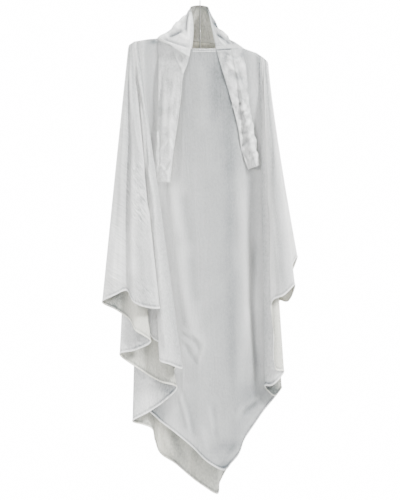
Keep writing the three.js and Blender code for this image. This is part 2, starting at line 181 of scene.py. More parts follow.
bend_z = WIRE_R - HOOK_R
stem = [(0, z) for z in STEM_FOOT_Z]
for f in np.linspace(0.06, 1, 18):
    shares = (1 - f) ** 3, 3 * f * (1 - f) ** 2, 3 * f * f * (1 - f), f ** 3
    stem.append((np.dot(shares, SWEEP_Y), np.dot(shares, SWEEP_Z)))
stem += [(HOOK_R, z) for z in np.linspace(-48, bend_z - 3, 5)]
stem += [(math.cos(a) * HOOK_R, bend_z + math.sin(a) * HOOK_R) for a in np.linspace(0, math.pi, 40)]
stem += [(-HOOK_R - 0.3, bend_z - 1.5), (-HOOK_R - 0.9, bend_z - 3.4)]
tip = np.array(stem[-1])
lean = (tip - stem[-2]) / np.linalg.norm(tip - stem[-2])
stem = np.array(stem + [tuple(tip + lean * past) for past, _ in TIP_FORM])
sizes = np.full(len(stem), WIRE_R)
sizes[-len(TIP_FORM):] *= [part for _, part in TIP_FORM]
run = np.gradient(stem, axis=0)
run /= np.linalg.norm(run, axis=1)[:, None]
cos, sin = np.cos(around(16)), np.sin(around(16))
hook_rings = []
for (y, z), (dy, dz), size in zip(stem, run, sizes):
    hook_rings.append(np.stack([cos * size, y - dz * sin * size, z + dy * sin * size], axis=1))
hook = rod_from("hook_steel", hook_rings)
lacquer, tree, shader = new_finish(
    "dull dark grey lacquered wire", Base_Color=(0.16, 0.16, 0.153, 1), Coat_Weight=0.1)
draw_lines = clouds_in(tree, on_object(tree, (1, 1, 0.08)), 2600, 2)
rough = node_in(tree, "ShaderNodeMapRange", Value=draw_lines, To_Min=0.5, To_Max=0.65)
set_up(tree, shader, Roughness=rough, Normal=bump_in(tree, draw_lines, 0.12, 0.0001))
hook.data.materials.append(lacquer)
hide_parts("hanger_hook")
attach(hook, "root")

# ---- The cape's front ----
# The front half of a full circle cut of white crepe, with a narrow double-turned hem. It hangs smooth
# at the middle, and the spare width at each side falls in flutes from the shoulder's end.

# Folds marked FP run along the front's lower hem, BP along the back's, and WB round the right wing.
# A fold's tone is painted light and shade, how pale it reads: 0 dull, where it hangs single, to 1,
# where light comes through the layers that lie behind it.
# A fold with None takes the tone between its neighbours'.
FRONT_FOLDS = [  # mark, hem x, hem y, hem z, shoulder x, lead, tone
    ("T1", -305, -84, -945, -226, 1, 0.95), ("L1m", -267, -106, -923, -223, 1, 0.6),
    ("VL", -228, -92, -908, -219, 1, 0.4), ("L1n", -207, -108, -943, -217, 1, 0.75),
    ("L1o", -166, -118, -960, -215, 1, 0.4), ("TRp", -126, -98, -963, -213, 1, 0.75),
    ("H4m", -154, -66, -952, -211, 1, None), ("HL3", -182, -54, -949, -209, 1, 0.65),
    ("H2m", -149, -44, -1056, -207, 1, None), ("HR1", -100, -52, -1086, -205, 1, None),
    ("CR1", -126, -70, -1125, -202, 1, 0.95), ("R1m", -94, -84, -1138, -199, 1, 0.6),
    ("TR", -57, -58, -1152, -196, 1, 0.4), ("TRb", -63, -16, -1136, -193, 1, 0.65),
    ("M1m", -110, 4, -1202, -188, 1, None), ("CLA", -165, 14, -1274, -181, 1, 0.65),
    ("FPa", -135, 25, -1312, -163, 1, 0.6), ("FPb", -78, 14, -1356, -110, 1, 0.8),
    ("FPc", -25, 2, -1400, -53, 1, 0.6), ("FPd", 28, -8, -1450, -3, 1, 0.55),
    ("F0", 78, -14, -1472, 38, 1, 0.5), ("FPe", 99, -15, -1450, 53, 1, None),
    ("FPf", 122, -17, -1422, 72, 1, 0.45), ("FPg", 141, -10, -1372, 94, 1, 0.45),
    ("FPh", 166, 0, -1337, 119, 1, 0.5), ("FPi", 201, 8, -1287, 148, 1, None),
    ("FPj", 230, 8, -1252, 170, 1, 0.7), ("TA", 257, -2, -1215, 182, 1, None),
    ("Mm", 234, -14, -1240, 185, 1, 0.25), ("Vp", 203, -24, -1208, 188, 1, 0.35),
    ("F2m", 226, -38, -1205, 192, 1, 0.55), ("CR2", 263, -46, -1161, 195, 1, 0.9),
    ("HLm", 237, -54, -1155, 197, 1, 0.5), ("HLn", 230, -60, -1048, 198, 1, None),
    ("CLW", 226, -68, -941, 200, 1, 0.9), ("Wm", 261, -90, -923, 204, 1, 0.35),
    ("TW", 296, -66, -891, 209, 1, 0.75), ("WB1a", 276, -10, -943, 210, 1, 1),
    ("WB1b", 245, 20, -937, 211, 1, None), ("WC", 214, 28, -929, 212, 1, 1),
    ("WB2m", 259, 36, -879, 213, 1.05, None), ("TWo", 308, 50, -803, 215, 1.2, 0.9),
]
BACK_FOLDS = [  # mark, hem x, hem y, hem z, shoulder x, lead, tone
    ("WB3m", 254, 68, -938, 212, 1, None), ("WBc", 182, 76, -1080, 208, 1, None),
    ("WB4m", 201, 86, -1164, 204, 1, None), ("T3r", 218, 100, -1237, 198, 1, None),
    ("BPa", 176, 98, -1306, 163, 1, 0.6), ("BPb", 135, 76, -1368, 129, 1, None),
    ("BPc", 100, 84, -1447, 94, 1, None), ("BPd", 74, 72, -1494, 66, 1, None),
    ("BPe", 61, 64, -1522, 47, 1, None), ("B0", 57, 60, -1552, 35, 1, 0.4),
    ("BPf", 5, 78, -1525, -3, 1, None), ("BPg", -31, 62, -1497, -38, 1, 0.55),
    ("BPh", -78, 78, -1458, -82, 1, 0.4), ("T5", -127, 64, -1423, -122, 1, 0.95),
    ("Ris", -142, 56, -1384, -141, 1, None), ("L5a", -151, 42, -1346, -160, 1, None),
    ("L5b", -179, 22, -1332, -174, 1.1, 0.5), ("T4", -212, 0, -1320, -187, 1.1, 0.5),
    ("L4a", -163, -10, -1291, -191, 1.3, 0.8), ("L4b", -116, -12, -1259, -195, 1.5, 0.4),
    ("T3", -72, -22, -1213, -200, 1.6, 0.5), ("L3a", -126, -31, -1193, -203, 1.6, 0.6),
    ("L3b", -188, -38, -1156, -206, 1.5, 0.5), ("T2", -251, -58, -1107, -210, 1.2, 0.95),
    ("L2m", -201, -72, -1094, -212, 1.4, 0.45), ("TS", -153, -81, -1067, -215, 1.6, 0.65),
    ("S2m", -177, -91, -1047, -218, 1.5, None), ("Sst", -201, -93, -1032, -219, 1.4, 0.85),
    ("Sm", -218, -82, -1001, -220, 1.3, 0.65), ("Sn", -261, -80, -969, -223, 1.1, 0.2),
]
LEFT_SHOULDER = [  # place, x, y, z
    ("tip", -215, 0, -134), ("rest", -204, 0, -126), ("shoulder", -163, 0, -119), ("neck", -132, 0, -116.5),
]
RIGHT_SHOULDER = [  # place, x, y, z
    ("neck", 135, 0, -147), ("shoulder", 157, 0, -155), ("slope", 179, 0, -163), ("rest", 195, 0, -175),
    ("tip", 204, 0, -185),
]
FRONT_TOP = LEFT_SHOULDER + [
    ("left collarbone", -107, -22, -131), ("left of chin", -69, -38, -147), ("chin left", -25, -46, -153),
    ("chin", 13, -48, -154), ("chin right", 50, -46, -153), ("right of chin", 94, -36, -150),
    ("right collarbone", 119, -20, -148),
] + RIGHT_SHOULDER
BACK_TOP = LEFT_SHOULDER + [
    ("left nape", -107, 24, -116), ("left of nape", -60, 42, -118), ("nape", 0, 48, -122),
    ("right of nape", 60, 44, -129), ("right nape", 100, 30, -138),
] + RIGHT_SHOULDER
CROWD_LEFT = -181    # past these two places the columns crowd together towards the bar's tips
CROWD_RIGHT = 182
SHOULDER_R = 11      # how far the cloth rolls over the bar before it hangs
ROLL_DROP = 12       # how far down that roll reaches
NECK_OFF = 16        # where the neck edge is this far off the bar there is no roll
DEPTH_POWER = 2.2    # how early the folds take their full depth as they fall
FALL_ROWS = 126
FOLD_STEP = 6.8      # how far apart the columns of points are round the hem
SEAM_GAP = 0.25
CLOTH = 0.8          # the crepe's wall
HEM_FORM = [  # above the hem's edge, wall there
    (0, 0.6), (0.5, 1.6), (1.4, 2.6), (4, 3), (6.5, 1.3), (7.1, CLOTH), (9.8, CLOTH), (15, CLOTH),
]
# A painted highlight along the hem's rolled edge and a painted shade line just above it.
HEM_PAINTED_LIGHT_AND_SHADE = [  # above the hem's edge, how much paler
    (0, 0.45), (3.4, 0.45), (5.2, -0.2), (8.5, -0.3), (14, -0.05), (25, 0),
]
# creases of the smooth front: from x, z to x, z, width, height (below 0 for a trough)
FRONT_CREASES = [
    (113, -467, 119, -1268, 19.6, 4.4), (88, -404, 94, -1252, 19.6, -2.2), (135, -593, 144, -970, 18, 1),
    (148, -938, 160, -1215, 13, 2.8), (179, -718, 187, -1227, 12, -4), (-69, -1218, -28, -1368, 8, 3.3),
    (-58, -1218, -17, -1381, 8, -3.7), (-47, -1227, -35, -1337, 8, 1.8), (28, -1262, 44, -1353, 8, 2.4),
    (39, -1252, 55, -1384, 8, -2.2), (3, -1331, 25, -1425, 8, 1.5), (-66, -1029, 19, -1070, 6.5, 2.4),
    (19, -1067, -9, -1142, 6.5, 2.4), (-50, -1076, -6, -1145, 6.5, -2.4), (-22, -1054, 3, -1105, 6.5, -2.2),
    (-60, -1058, -22, -1086, 5.5, 2), (-85, -546, -63, -766, 19.6, 3.5), (-66, -725, -13, -1080, 19.6, 4),
    (-57, -593, -31, -781, 16.8, -2.6), (-31, -781, -13, -970, 16.8, -2.2), (195, -1237, 138, -1271, 7, 3),
    (144, -1266, 104, -1324, 8.4, 2.6), (185, -1255, 129, -1296, 8.4, -3.5),
    (126, -1397, 88, -1441, 8, 2.2), (113, -1387, 82, -1434, 8, -2.2), (157, -1340, 132, -1381, 8, 1.8),
    (44, -185, 38, -404, 22.4, -2), (0, -178, -3, -436, 19.6, 1.8), (78, -342, 88, -593, 19.6, -1),
]
LEFT_WING_CREASES = [
    (-261, -706, -276, -907, 7, 3.2), (-248, -546, -257, -891, 7, -3.2), (-276, -734, -292, -932, 7, -2.4),
    (-179, -514, -160, -671, 7, -3.2), (-160, -671, -144, -932, 7.8, -2.8),
    (-220, -160, -176, -536, 4.5, 4.5), (-210, -191, -166, -568, 4.5, -4), (-195, -222, -151, -492, 4.5, 5),
    (-182, -247, -141, -517, 4.5, -5), (-170, -499, -138, -718, 4.5, 3.5),
    (-201, -404, -192, -718, 7.8, 2.4), (-217, -373, -229, -781, 7.8, -2.8),
    (-204, -467, -207, -907, 9.1, 2.4), (-185, -734, -170, -938, 7.8, 2.4),
    (-126, -938, -107, -1102, 7, 2.4), (-138, -938, -119, -1095, 7, -2.8), (-88, -970, -72, -1127, 7, -2.4),
    (-144, -718, -126, -938, 7, 2.4),
]
RIGHT_WING_CREASES = [
    (195, -216, 207, -561, 6, 2.8), (207, -561, 228, -932, 6, 3.2), (204, -203, 220, -593, 6, -2.8),
    (220, -593, 239, -913, 6, -3.2), (214, -235, 239, -624, 6, 2.2), (242, -624, 264, -891, 7.8, 2.6),
    (226, -342, 261, -781, 6.5, -2.2), (199, -404, 214, -750, 6, -2.4), (270, -750, 283, -844, 6.5, -2.8),
    (214, -970, 214, -1189, 6, 2.4), (229, -938, 229, -1189, 6.5, -2.8), (245, -970, 251, -1164, 6.5, 2.4),
]
BACK_CREASES = [
    (-91, -191, -113, -938, 18, 4), (-44, -178, -57, -1032, 20, -4), (9, -185, 19, -1221, 22, 4.5),
    (69, -185, 85, -1032, 20, -4), (126, -197, 148, -938, 18, 4), (170, -279, 195, -844, 14, -4),
    (-151, -222, -182, -750, 14, -4), (-16, -907, -35, -1425, 20, 4), (44, -1001, 60, -1472, 18, -4),
    (104, -907, 119, -1315, 16, 4), (-75, -938, -100, -1315, 16, -3.5), (-126, -593, -157, -1032, 14, 3.5),
    (144, -750, 176, -1127, 12, -3.5), (38, -373, 0, -467, 9, 3), (88, -436, 44, -549, 9, -3),
    (-63, -373, -25, -486, 9, 3),
]
CASCADE_CREASES = [
    (-157, -1290, -201, -1328, 8, 2.8), (-195, -1164, -126, -1227, 9.1, -2.8),
    (-185, -1064, -217, -1102, 8, 2.8), (-229, -1001, -223, -1102, 8, -2.8),
    (-166, -1174, -126, -1240, 8, 2.8), (-157, -988, -173, -1045, 8, 2.4), (-126, -1353, -78, -1447, 8, 4),
    (-107, -1346, -31, -1491, 10.4, -4), (-31, -1425, 0, -1516, 9.1, 3.2), (19, -1447, 44, -1535, 8, -2.8),
    (-126, -1331, -119, -1416, 8, -2.8),
]
# patches of fine slanting wrinkles: middle x, z, half width, half height, depth
WRINKLE_PATCHES = [
    (-201, -536, 25, 31, 1.1), (-188, -634, 35, 63, 1.4), (-217, -574, 16, 38, 1),
    (-201, -737, 38, 69, 0.4), (-270, -866, 25, 44, 0.6), (-179, -913, 47, 38, 0.6),
    (-261, -725, 25, 63, 0.3),
]
# soft places of painted light, where the cloth reads paler, and of painted shade, duller below 0:
# middle x, z, half width, half height, how much
PAINTED_LIGHT_AND_SHADE_PATCHES = [
    (176, -1240, 38, 50, -0.15), (-113, -1397, 25, 63, 0.15), (-82, -1378, 16, 31, -0.04),
    (-144, -128, 16, 9, -0.3), (82, -1397, 50, 22, -0.1), (82, -185, 31, 63, -0.1),
    (100, -326, 25, 126, -0.07), (9, -125, 28, 9, 0.5), (-41, -1290, 44, 69, -0.12),
    (-6, -1032, 31, 126, 0.05), (-210, -838, 22, 31, 0.12), (-251, -806, 53, 107, 0.2),
    (-132, -467, 19, 126, 0.06), (276, -932, 25, 22, 0.4), (157, -907, 16, 126, 0.2),
    (163, -1127, 28, 44, -0.1), (-135, -1299, 28, 25, -0.28), (82, -1466, 22, 25, -0.25),
    (-188, -1080, 31, 22, -0.12), (-242, -929, 19, 16, -0.2), (-295, -938, 19, 13, 0.35),
    (-220, -1111, 19, 13, -0.22), (-100, -1221, 19, 9, -0.22), (226, -1259, 25, 38, -0.15),
    (179, -970, 16, 141, 0.12), (110, -813, 19, 126, 0.06), (-126, -420, 13, 94, 0.08),
    (204, -373, 13, 126, 0.08), (-204, -671, 44, 94, 0.08), (-88, -1299, 38, 69, -0.12),
    (0, -1425, 63, 25, -0.1), (-50, -373, 19, 157, -0.05), (226, -1215, 28, 25, -0.2),
]


def numbers_of(rows):
    """A table's numbers, by column, without its names."""
    return np.array([r[1:] for r in rows], dtype=float).T


def curve_between(p0, p1, p2, p3, shares):
    """Points from p1 to p2 on a smooth curve, evened out where its points stand unequally far apart."""
    d0, d1, d2 = (max(math.sqrt(np.linalg.norm(b - a)), 1e-3) for a, b in ((p0, p1), (p1, p2), (p2, p3)))
    m1 = ((p1 - p0) / d0 - (p2 - p0) / (d0 + d1) + (p2 - p1) / d1) * d1
    m2 = ((p2 - p1) / d1 - (p3 - p1) / (d1 + d2) + (p3 - p2) / d2) * d1
    turn, bend = 3 * (p2 - p1) - 2 * m1 - m2, 2 * (p1 - p2) + m1 + m2
    return [p1 + m1 * f + turn * f ** 2 + bend * f ** 3 for f in shares]


def ring_of(line, step):
    """Points on a smooth closed curve through those given, and the place of each among them."""
    count = len(line)
    ring, place = [], []
    for k in range(count):
        here, there = line[k], line[(k + 1) % count]
        steps = max(5, math.ceil(np.linalg.norm(there - here) / step))
        shares = np.arange(steps) / steps
        ring += curve_between(line[k - 1], here, there, line[(k + 2) % count], shares)
        place += list(k + shares)
    return np.array(ring), np.array(place)


def even(values, times):
    """Values round a closed ring, each drawn to the mean of its neighbours."""
    for _ in range(times):
        values = values * 0.5 + (np.roll(values, 1, 0) + np.roll(values, -1, 0)) * 0.25
    return values


def length_of(steps):
    """How long each of an array of steps is."""
    return np.linalg.norm(steps, axis=-1)


def cape_columns(hem, top, lead, is_front, down):
    """Points of the whole cape, columns round it and rows down it, and how much each lies on the bar."""
    front, back = numbers_of(FRONT_TOP), numbers_of(BACK_TOP)
    tip_left, tip_right = front[0, 0], front[0, -1]
    ridge_x = np.interp(top, [tip_left - SHOULDER_R, CROWD_LEFT, CROWD_RIGHT, tip_right + SHOULDER_R],
                        [tip_left, CROWD_LEFT, CROWD_RIGHT, tip_right])
    ridge_y, ridge_z = (np.where(is_front, np.interp(ridge_x, front[0], front[k]),
                                 np.interp(ridge_x, back[0], back[k])) for k in (1, 2))
    reach = SHOULDER_R * np.maximum(0, 1 - np.abs(ridge_y) / NECK_OFF)
    past = np.maximum(tip_left - top, top - tip_right)
    out_y = np.where(past > 0, SHOULDER_R * np.sqrt(np.clip(1 - (past / SHOULDER_R) ** 2, 0, 1)), reach)
    side = np.where(is_front, -1, 1)
    start = np.stack([ridge_x, ridge_y + side * SEAM_GAP, ridge_z], axis=1)
    spring = np.stack([top, ridge_y + side * out_y, ridge_z - ROLL_DROP], axis=1)
    rows = []
    for a in np.radians([0, 15, 30, 45, 60, 75]):
        row = start + (spring - start) * math.sin(a)
        row[:, 2] = ridge_z - ROLL_DROP * (1 - math.cos(a))
        rows.append(row)
    length = length_of(hem - spring)
    falls = [t * (1 - HEM_FORM[-1][0] / length) for t in np.linspace(0, 1, down)[:-1] ** 1.06]
    falls += [1 - above / length for above, _ in reversed(HEM_FORM)]
    for fall in falls:
        t = np.clip(fall, 0, 1)
        eased = np.stack([t ** lead, 1 - (1 - t) ** DEPTH_POWER, t], axis=1)
        rows.append(spring + (hem - spring) * eased)
    grid = np.stack(rows, axis=1)
    for _ in range(4):  # the roll over the bar runs smoothly into the fall
        grid[:, 4:14] = grid[:, 4:14] * 0.5 + (grid[:, 3:13] + grid[:, 5:15]) * 0.25
    return grid, reach / SHOULDER_R


def grid_normals(grid, closed=False):
    """Outward normals of a grid of points, with columns running to the right as they are seen."""
    if closed:
        along = np.roll(grid, -1, 0) - np.roll(grid, 1, 0)
    else:
        along = np.gradient(grid, axis=0)
    normal = np.cross(along, -np.gradient(grid, axis=1))
    return normal / np.maximum(length_of(normal), 1e-9)[:, :, None]


def noise_at(x, y, seed):
    """Smooth noise at arrays of places."""
    x, y = np.broadcast_arrays(x, y)
    values = [noise.noise(Vector((a, b, seed))) for a, b in zip(x.ravel(), y.ravel())]
    return np.array(values).reshape(x.shape)


def drift(grid, amount):
    """Small slow unevenness of hanging cloth, in y alone and the same for every layer at one place."""
    x, z = grid[:, :, 0], grid[:, :, 2]
    return (noise_at(x / 85, z / 210, 3.1) + 0.45 * noise_at(x / 34, z / 120, 7.7)) * amount


def share(distance, length):
    """What part of a length a distance is, from 0 to 1."""
    return np.clip(distance / length, 0, 1)


def crease(grid, rows):
    """Heights of listed soft ridges and troughs, for points seen from the front."""
    x, z = grid[:, :, 0], grid[:, :, 2]
    height = np.zeros(x.shape)
    for x1, z1, x2, z2, width, rise in rows:
        run = np.array([x2 - x1, z2 - z1], dtype=float)
        length = np.linalg.norm(run)
        run /= length
        f = ((x - x1) * run[0] + (z - z1) * run[1]) / length
        bow = 0.035 * length * np.sin(share(f, 1) * math.pi) * math.sin(x1 * 1.7 + z2)
        off = (x - x1) * -run[1] + (z - z1) * run[0] + bow
        fade = share(f, 0.22) * share(1 - f, 0.22)
        height += rise * fade * fade * (3 - 2 * fade) * np.exp(-(off / width) ** 2)
    return height


def patches(grid, rows, power):
    """How strongly each point lies in each of some soft-edged places."""
    x, z = grid[:, :, 0], grid[:, :, 2]
    for mx, mz, half_x, half_z, much in rows:
        yield much * np.exp(-np.abs((x - mx) / half_x) ** power - np.abs((z - mz) / half_z) ** power)


def pucker(run, drop, amount, pitch):
    """A hem's small pull, fading up the cloth; run is the place along it and drop the distance from it."""
    pull = noise_at(run / pitch, 0.3, 5) + 0.6 * noise_at(run / pitch / 0.41, 2.3, 9)
    return pull[:, None] * np.exp(-drop / 17) * amount


def cut_layout(grid):
    """Where each point lies on the cut cloth, in metres, with rows level at the middle column."""
    across = np.zeros(grid.shape[:2])
    across[1:] = np.cumsum(length_of(np.diff(grid, axis=0)), axis=0)
    across -= across[grid.shape[0] // 2]
    fall = length_of(np.diff(grid, axis=1))
    aside = np.minimum(np.abs(np.diff(across, axis=1)), fall * 0.98)
    down = np.zeros(grid.shape[:2])
    down[:, 1:] = -np.cumsum(np.sqrt(np.maximum(fall ** 2 - aside ** 2, 0)), axis=1)
    return np.stack([across, down], axis=2) * 0.001


def run_along(line):
    """How far along a line each of its points is."""
    return np.concatenate([[0], np.cumsum(length_of(np.diff(line, axis=0)))])


def faces_of(n, m):
    """The faces of a grid of n columns and m rows of points."""
    i, j = np.meshgrid(np.arange(n - 1), np.arange(m - 1), indexing="ij")
    a = (i * m + j).ravel()
    return np.stack([a, a + 1, a + m + 1, a + m], axis=1)


def crepe_finish(name, palest, dullest, painted_inner_shade):
    """Matte crepe, laid on the cut: a pebbled weave, long soft crinkles, slanting ones where the cloth was
    gripped, and a tone from its dullest to its palest that is painted light and shade, with painted shade
    in the crinkles' hollows and on the cloth's reverse side. It lets a little light through."""
    material, tree, shader = new_finish(
        name, Roughness=0.8, Specular_IOR_Level=0.25, Sheen_Weight=0.15, Sheen_Roughness=0.5,
        Subsurface_Weight=0.4, Subsurface_Radius=(1, 1, 1), Subsurface_Scale=0.0012)

    def mark(title):
        return node_in(tree, "ShaderNodeAttribute", attribute_name=title)

    def clouds(place, stretch, detail, roughness, distortion, angle=0):
        place = node_in(tree, "ShaderNodeMapping", Vector=place, Scale=stretch, Rotation=(0, 0, angle))
        return clouds_in(tree, place, 1, detail, roughness, distortion)

    def combined(operation, *terms, **settings):
        return node_in(tree, "ShaderNodeMath", dict(enumerate(terms)), operation=operation, **settings)

    def mixed(factor, first, second, blend):
        return node_in(tree, "ShaderNodeMix", {6: first, 7: second}, data_type="RGBA", blend_type=blend,
                       Factor=factor).outputs[2]

    cut = node_in(tree, "ShaderNodeUVMap", uv_map="cut")
    down = node_in(tree, "ShaderNodeSeparateXYZ", Vector=cut).outputs["Y"]
    fall = node_in(tree, "ShaderNodeCombineXYZ", X=mark("column"), Y=down)
    weft, warp = (node_in(tree, "ShaderNodeTexWave", bands_direction=way, Vector=cut, Scale=520,
                          Distortion=2.5) for way in "XY")
    how_crinkled = mark("crinkle")
    crinkled = combined("MULTIPLY", clouds(cut, (165, 105, 1), 4, 0.55, 0.4), how_crinkled)
    gripped = combined("MULTIPLY_ADD", clouds(cut, (125, 28, 1), 2, 0.5, 0.3, 0.12), 2.6, -1.15)
    wrinkled = combined("MULTIPLY_ADD", gripped, mark("slanted"), crinkled)
    swell = combined("MULTIPLY", clouds(fall, (34, 5, 1), 2, 0.5, 0.6), how_crinkled)
    bumps = [bump_in(tree, combined("MULTIPLY", weft, warp), 0.25, 0.00012),
             bump_in(tree, clouds_in(tree, cut, 620, 3, 0.65), 1, 0.0004),
             bump_in(tree, wrinkled, 1, 0.0024), bump_in(tree, swell, 1, 0.006)]
    for finer, broader in zip(bumps, bumps[1:]):
        set_up(tree, broader, Normal=finer)
    slub = clouds_in(tree, cut, 340, 3, 0.65)
    uneven = combined("MULTIPLY_ADD", slub, 0.5, clouds_in(tree, cut, 9, 4, 0.6))
    spread = node_in(tree, "ShaderNodeMapRange", Value=uneven, From_Min=0.45, From_Max=1.05,
                     To_Min=-0.05, To_Max=0.05)
    # Painted shade in the crinkles' hollows and painted light on their ridges.
    painted_crinkle_shade = node_in(tree, "ShaderNodeMapRange", Value=wrinkled, From_Max=1.4, To_Min=-0.3, To_Max=0.35)
    # The painted light and shade of the marks, with a little random unevenness of the crepe.
    painted_light_and_shade = combined("ADD", painted_crinkle_shade, combined("ADD", spread, mark("painted_light_and_shade")), use_clamp=True)
    outer = mixed(painted_light_and_shade, (*dullest, 1), (*palest, 1), "MIX")
    # The reverse side is painted duller and warmer: painted shade, as in the folds' recesses.
    colour = mixed(mark("reverse"), outer, (*painted_inner_shade, 1), "MULTIPLY")
    set_up(tree, shader, Base_Color=colour, Normal=bumps[-1])
    return material


crepe = crepe_finish("white crepe", (0.95, 0.95, 0.93), (0.095, 0.108, 0.115), (0.9, 0.89, 0.81))


def crepe_piece(name, grid, thickness, painted_light_and_shade, normals=None, **marks):
    """A thin closed shell of crepe on a grid of points. Its thickness, its tone, which is painted light and
    shade, and every other mark is one value for the whole piece or one for each point."""
    normals = grid_normals(grid) if normals is None else normals
    n, m = grid.shape[:2]
    count = n * m
    column = run_along(grid[:, -1])[:, None] * 0.001
    shown = {"crinkle": 1, "slanted": 0, "painted_light_and_shade": painted_light_and_shade, "column": column, **marks}
    shown = {title: np.tile((np.zeros((n, m)) + value).ravel(), 2) for title, value in shown.items()}
    shown["reverse"] = np.repeat([0, 1], count)
    half = normals * (np.zeros((n, m)) + thickness)[:, :, None] / 2
    points = np.concatenate([grid + half, grid - half]).reshape(-1, 3)
    outer = faces_of(n, m)
    at = np.arange(count).reshape(n, m)
    edge = np.concatenate([at[:, 0], at[-1, 1:], at[-2::-1, -1], at[0, -2::-1]])
    rim = np.stack([edge[:-1], edge[1:], edge[1:] + count, edge[:-1] + count], axis=1)
    faces = np.concatenate([outer, outer[:, ::-1] + count, rim]).tolist()
    cut = np.tile(cut_layout(grid).reshape(-1, 2), (2, 1))
    made = piece_from(name, points, faces, cut, shown)
    made.data.materials.append(crepe)
    return made


fold_marks = [fold[0] for fold in FRONT_FOLDS + BACK_FOLDS]
folds = numbers_of(FRONT_FOLDS + BACK_FOLDS)
hem, place_in_ring = ring_of(folds[:3].T, FOLD_STEP)
at = np.arange(len(fold_marks) + 1)
shoulder_x, lead = (np.interp(place_in_ring, at, [*values, values[0]]) for values in folds[3:5])
toned = np.flatnonzero(~np.isnan(folds[5]))
# The folds' painted light and shade, round the hem.
painted_light_and_shade = even(np.interp(place_in_ring, toned, folds[5, toned]), 5)[:, None]
seam = int(np.argmax(place_in_ring >= len(FRONT_FOLDS) - 1))
is_front = np.arange(len(hem)) < seam


def layer_mask(first, last, ends=0.6):
    """1 on the columns from one marked fold to another, 0 on the rest, eased over the ends."""
    a, b = fold_marks.index(first), fold_marks.index(last)
    return (share(place_in_ring - a, ends) * share(b - place_in_ring, ends))[:, None]


ring, on_bar = cape_columns(hem, even(shoulder_x, 3), lead, is_front, FALL_ROWS)
ring_normals = even(grid_normals(ring, True), 2)
faces_up = np.zeros((*ring.shape[:2], 1))    # the cloth faces up where it lies on the bar
faces_up[:, :4, 0] = on_bar[:, None] * (1, 0.7, 0.4, 0.2)
ring_normals = ring_normals * (1 - faces_up) + faces_up * (0, 0, 1)
ring_normals /= length_of(ring_normals)[:, :, None]
drop_to_hem = length_of(ring - ring[:, -1:])
drop_from_top = length_of(ring - ring[:, :1])
hem_run = run_along(ring[:, -1])
hanging_free = share(drop_from_top - 40, 220)
ring[:, :, 1] += drift(ring, 2.6) * hanging_free
relief = crease(ring, FRONT_CREASES) * 1.5 * layer_mask("M1m", "TA")
relief += crease(ring, LEFT_WING_CREASES) * layer_mask("T1", "TRb")
relief += crease(ring, RIGHT_WING_CREASES) * layer_mask("CR2", "TW")
relief += crease(ring, BACK_CREASES) * layer_mask("BPa", "BPh")
past_corner = share(place_in_ring - fold_marks.index("B0"), 2)[:, None]
relief += crease(ring, CASCADE_CREASES) * past_corner
relief += pucker(hem_run, drop_to_hem, 0.55, 11) * hanging_free
ring += ring_normals * relief[:, :, None]
hem_wall = np.interp(drop_to_hem, *zip(*HEM_FORM))
crinkled = 1 - 0.62 * layer_mask("CLA", "TA") + 0.3 * np.exp(-(drop_to_hem / 30) ** 2)
slanted = np.max(list(patches(ring, WRINKLE_PATCHES, 3)), axis=0) * layer_mask("T1", "TRp")
# Painted shade over the top of the front and painted light over the top of the back, then the painted light
# and shade of the patches, of the creases (darker in troughs, paler on ridges) and of the hem.
painted_light_and_shade = painted_light_and_shade + np.where(is_front[:, None], -0.1 * np.exp(-(drop_from_top / 220) ** 2),
                       0.3 * np.exp(-(drop_from_top / 80) ** 2))
painted_light_and_shade += sum(patches(ring, PAINTED_LIGHT_AND_SHADE_PATCHES, 2)) + 0.02 * relief + np.interp(drop_to_hem, *zip(*HEM_PAINTED_LIGHT_AND_SHADE))


def draw_in(grid):
    """The two side edges of a panel drawn in by half the seam's space."""
    grid = grid.copy()
    for edge, next_in in ((0, 1), (-1, -2)):
        toward = grid[next_in] - grid[edge]
        grid[edge] += toward / np.maximum(length_of(toward), 1e-6)[:, None] * SEAM_GAP
    return grid


def panel_from(name, grid, columns):
    """One of the cape's two panels, from its columns of the ring."""
    return crepe_piece(
        name, grid, hem_wall[columns], painted_light_and_shade[columns], ring_normals[columns], crinkle=crinkled[columns],
        slanted=slanted[columns], column=hem_run[columns, None] * 0.001)


front_columns = np.arange(seam + 1)
front_grid = draw_in(ring[front_columns])
cape_front = panel_from("cape_front_crepe", front_grid, front_columns)


STITCH_PART = 0.78   # of the pitch, what shows as a stitch
THREAD = 0.00028     # half the thread's thickness, in metres


